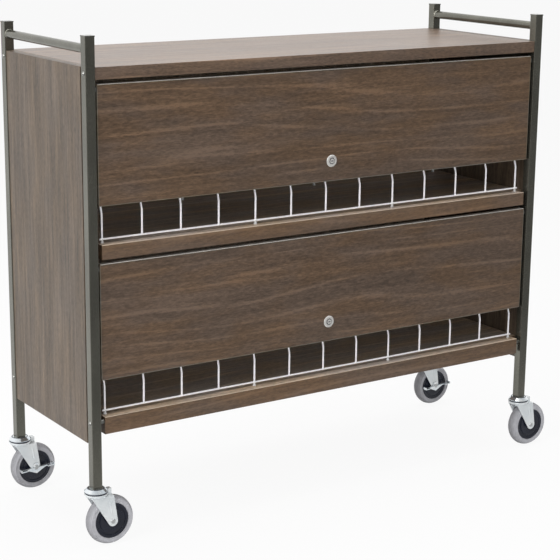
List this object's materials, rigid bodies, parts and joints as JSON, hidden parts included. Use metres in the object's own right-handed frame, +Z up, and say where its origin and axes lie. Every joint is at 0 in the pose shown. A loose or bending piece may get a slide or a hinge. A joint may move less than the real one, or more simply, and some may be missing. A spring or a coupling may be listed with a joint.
{
  "type": "medical chart rack",
  "caption": "Wheeled chart rack with two tiers of wire dividers behind lift-and-recede laminate doors, a worktop, end handles and swivel casters with brakes.",
  "frame": {"origin": "on the floor at the middle of the rack's outline, casters included", "axes": "+Z up, +X to the right of someone facing the doors, +Y from the doors to the back"},
  "size_m": [1.517, 0.5076, 1.265],
  "materials": {
    "frame_coat": "satin bronze-grey metallic coating",
    "bolt_zinc": "zinc plated",
    "worktop_laminate": "satin wood-grain laminate",
    "side_laminate": "satin wood-grain laminate, grain upright",
    "shelf_laminate": "satin wood-grain laminate, grain along the shelf",
    "door_laminate": "satin wood-grain laminate, grain along the door",
    "divider_coat": "white powder coating",
    "divider_foot": "white moulded plastic",
    "slide_steel": "zinc-plated sheet steel",
    "glide_nylon": "natural nylon",
    "hinge_bush": "plain brass",
    "lock_chrome": "polished",
    "caster_zinc": "bright zinc plate",
    "hub_plastic": "dark blue-grey moulded plastic",
    "caster_tyre": "non-marking grey rubber"
  },
  "bodies": {
    "root": {"front_left_post": "frame_coat", "front_right_post": "frame_coat", "rear_left_post": "frame_coat", "rear_right_post": "frame_coat", "post_caps": "frame_coat", "left_handle_tube": "frame_coat", "right_handle_tube": "frame_coat", "post_bolts": "bolt_zinc", "top_panel": "worktop_laminate", "middle_shelf": "shelf_laminate", "bottom_shelf": "shelf_laminate", "back_panel": "side_laminate", "left_side_wall": "side_laminate", "left_side_panel": "side_laminate", "right_side_wall": "side_laminate", "right_side_panel": "side_laminate", "front_left_caster_stem": "caster_zinc", "front_right_caster_stem": "caster_zinc", "rear_left_caster_stem": "caster_zinc", "rear_right_caster_stem": "caster_zinc", "upper_divider_rack": "divider_coat", "upper_divider_feet": "divider_foot", "upper_door_runners": "slide_steel", "lower_divider_rack": "divider_coat", "lower_divider_feet": "divider_foot", "lower_door_runners": "slide_steel"},
    "upper_carriage": {"upper_carriage_bar": "slide_steel", "upper_carriage_glides": "glide_nylon"},
    "upper_door": {"upper_door_panel": "door_laminate", "upper_door_hinges": "hinge_bush", "upper_lock_body": "lock_chrome", "upper_lock_nut": "lock_chrome"},
    "upper_lock": {"upper_lock_plug": "lock_chrome", "upper_lock_cam": "slide_steel"},
    "lower_carriage": {"lower_carriage_bar": "slide_steel", "lower_carriage_glides": "glide_nylon"},
    "lower_door": {"lower_door_panel": "door_laminate", "lower_door_hinges": "hinge_bush", "lower_lock_body": "lock_chrome", "lower_lock_nut": "lock_chrome"},
    "lower_lock": {"lower_lock_plug": "lock_chrome", "lower_lock_cam": "slide_steel"},
    "front_left_swivel": {"front_left_fork": "caster_zinc", "front_left_axle": "caster_zinc"},
    "front_left_wheel": {"front_left_hub": "hub_plastic", "front_left_tyre": "caster_tyre"},
    "front_right_swivel": {"front_right_fork": "caster_zinc", "front_right_axle": "caster_zinc"},
    "front_right_wheel": {"front_right_hub": "hub_plastic", "front_right_tyre": "caster_tyre"},
    "rear_left_swivel": {"rear_left_fork": "caster_zinc", "rear_left_axle": "caster_zinc"},
    "rear_left_wheel": {"rear_left_hub": "hub_plastic", "rear_left_tyre": "caster_tyre"},
    "rear_left_brake": {"rear_left_brake_lever": "caster_zinc"},
    "rear_right_swivel": {"rear_right_fork": "caster_zinc", "rear_right_axle": "caster_zinc"},
    "rear_right_wheel": {"rear_right_hub": "hub_plastic", "rear_right_tyre": "caster_tyre"},
    "rear_right_brake": {"rear_right_brake_lever": "caster_zinc"}
  },
  "joints": [
    {"name": "upper_carriage_slide", "type": "slide", "parent": "root", "child": "upper_carriage", "axis": [0, 1, 0], "range_m": [0, 0.28]},
    {"name": "upper_door_hinge", "type": "hinge", "parent": "upper_carriage", "child": "upper_door", "pos_m": [-0.03525, -0.221, 1.1385], "axis": [-1, 0, 0], "range_deg": [0, 90]},
    {"name": "upper_lock_turn", "type": "hinge", "parent": "upper_door", "child": "upper_lock", "pos_m": [-0.03525, -0.2305, 0.9135], "axis": [0, -1, 0], "range_deg": [0, 90]},
    {"name": "lower_carriage_slide", "type": "slide", "parent": "root", "child": "lower_carriage", "axis": [0, 1, 0], "range_m": [0, 0.28]},
    {"name": "lower_door_hinge", "type": "hinge", "parent": "lower_carriage", "child": "lower_door", "pos_m": [-0.03525, -0.221, 0.7065], "axis": [-1, 0, 0], "range_deg": [0, 90]},
    {"name": "lower_lock_turn", "type": "hinge", "parent": "lower_door", "child": "lower_lock", "pos_m": [-0.03525, -0.2305, 0.4815], "axis": [0, -1, 0], "range_deg": [0, 90]},
    {"name": "front_left_swivel_turn", "type": "hinge", "parent": "root", "child": "front_left_swivel", "pos_m": [-0.72955, -0.2248, 0.127], "axis": [0, 0, 1], "continuous": true},
    {"name": "front_left_wheel_spin", "type": "hinge", "parent": "front_left_swivel", "child": "front_left_wheel", "pos_m": [-0.69355, -0.2248, 0.0635], "axis": [0, 1, 0], "continuous": true},
    {"name": "front_right_swivel_turn", "type": "hinge", "parent": "root", "child": "front_right_swivel", "pos_m": [0.65905, -0.2248, 0.127], "axis": [0, 0, 1], "continuous": true},
    {"name": "front_right_wheel_spin", "type": "hinge", "parent": "front_right_swivel", "child": "front_right_wheel", "pos_m": [0.69505, -0.2248, 0.0635], "axis": [0, 1, 0], "continuous": true},
    {"name": "rear_left_swivel_turn", "type": "hinge", "parent": "root", "child": "rear_left_swivel", "pos_m": [-0.72955, 0.2248, 0.127], "axis": [0, 0, 1], "continuous": true},
    {"name": "rear_left_wheel_spin", "type": "hinge", "parent": "rear_left_swivel", "child": "rear_left_wheel", "pos_m": [-0.69355, 0.2248, 0.0635], "axis": [0, 1, 0], "continuous": true},
    {"name": "rear_left_brake_rock", "type": "hinge", "parent": "rear_left_swivel", "child": "rear_left_brake", "pos_m": [-0.69355, 0.2248, 0.0635], "axis": [0, 1, 0], "range_deg": [0, 18]},
    {"name": "rear_right_swivel_turn", "type": "hinge", "parent": "root", "child": "rear_right_swivel", "pos_m": [0.65905, 0.2248, 0.127], "axis": [0, 0, 1], "continuous": true},
    {"name": "rear_right_wheel_spin", "type": "hinge", "parent": "rear_right_swivel", "child": "rear_right_wheel", "pos_m": [0.69505, 0.2248, 0.0635], "axis": [0, 1, 0], "continuous": true},
    {"name": "rear_right_brake_rock", "type": "hinge", "parent": "rear_right_swivel", "child": "rear_right_brake", "pos_m": [0.69505, 0.2248, 0.0635], "axis": [0, 1, 0], "range_deg": [0, 18]}
  ],
  "couplings": [
    {"joint": "upper_carriage_slide", "follows": "upper_door_hinge", "m_per_rad": 0.17825},
    {"joint": "lower_carriage_slide", "follows": "lower_door_hinge", "m_per_rad": 0.17825}
  ]
}
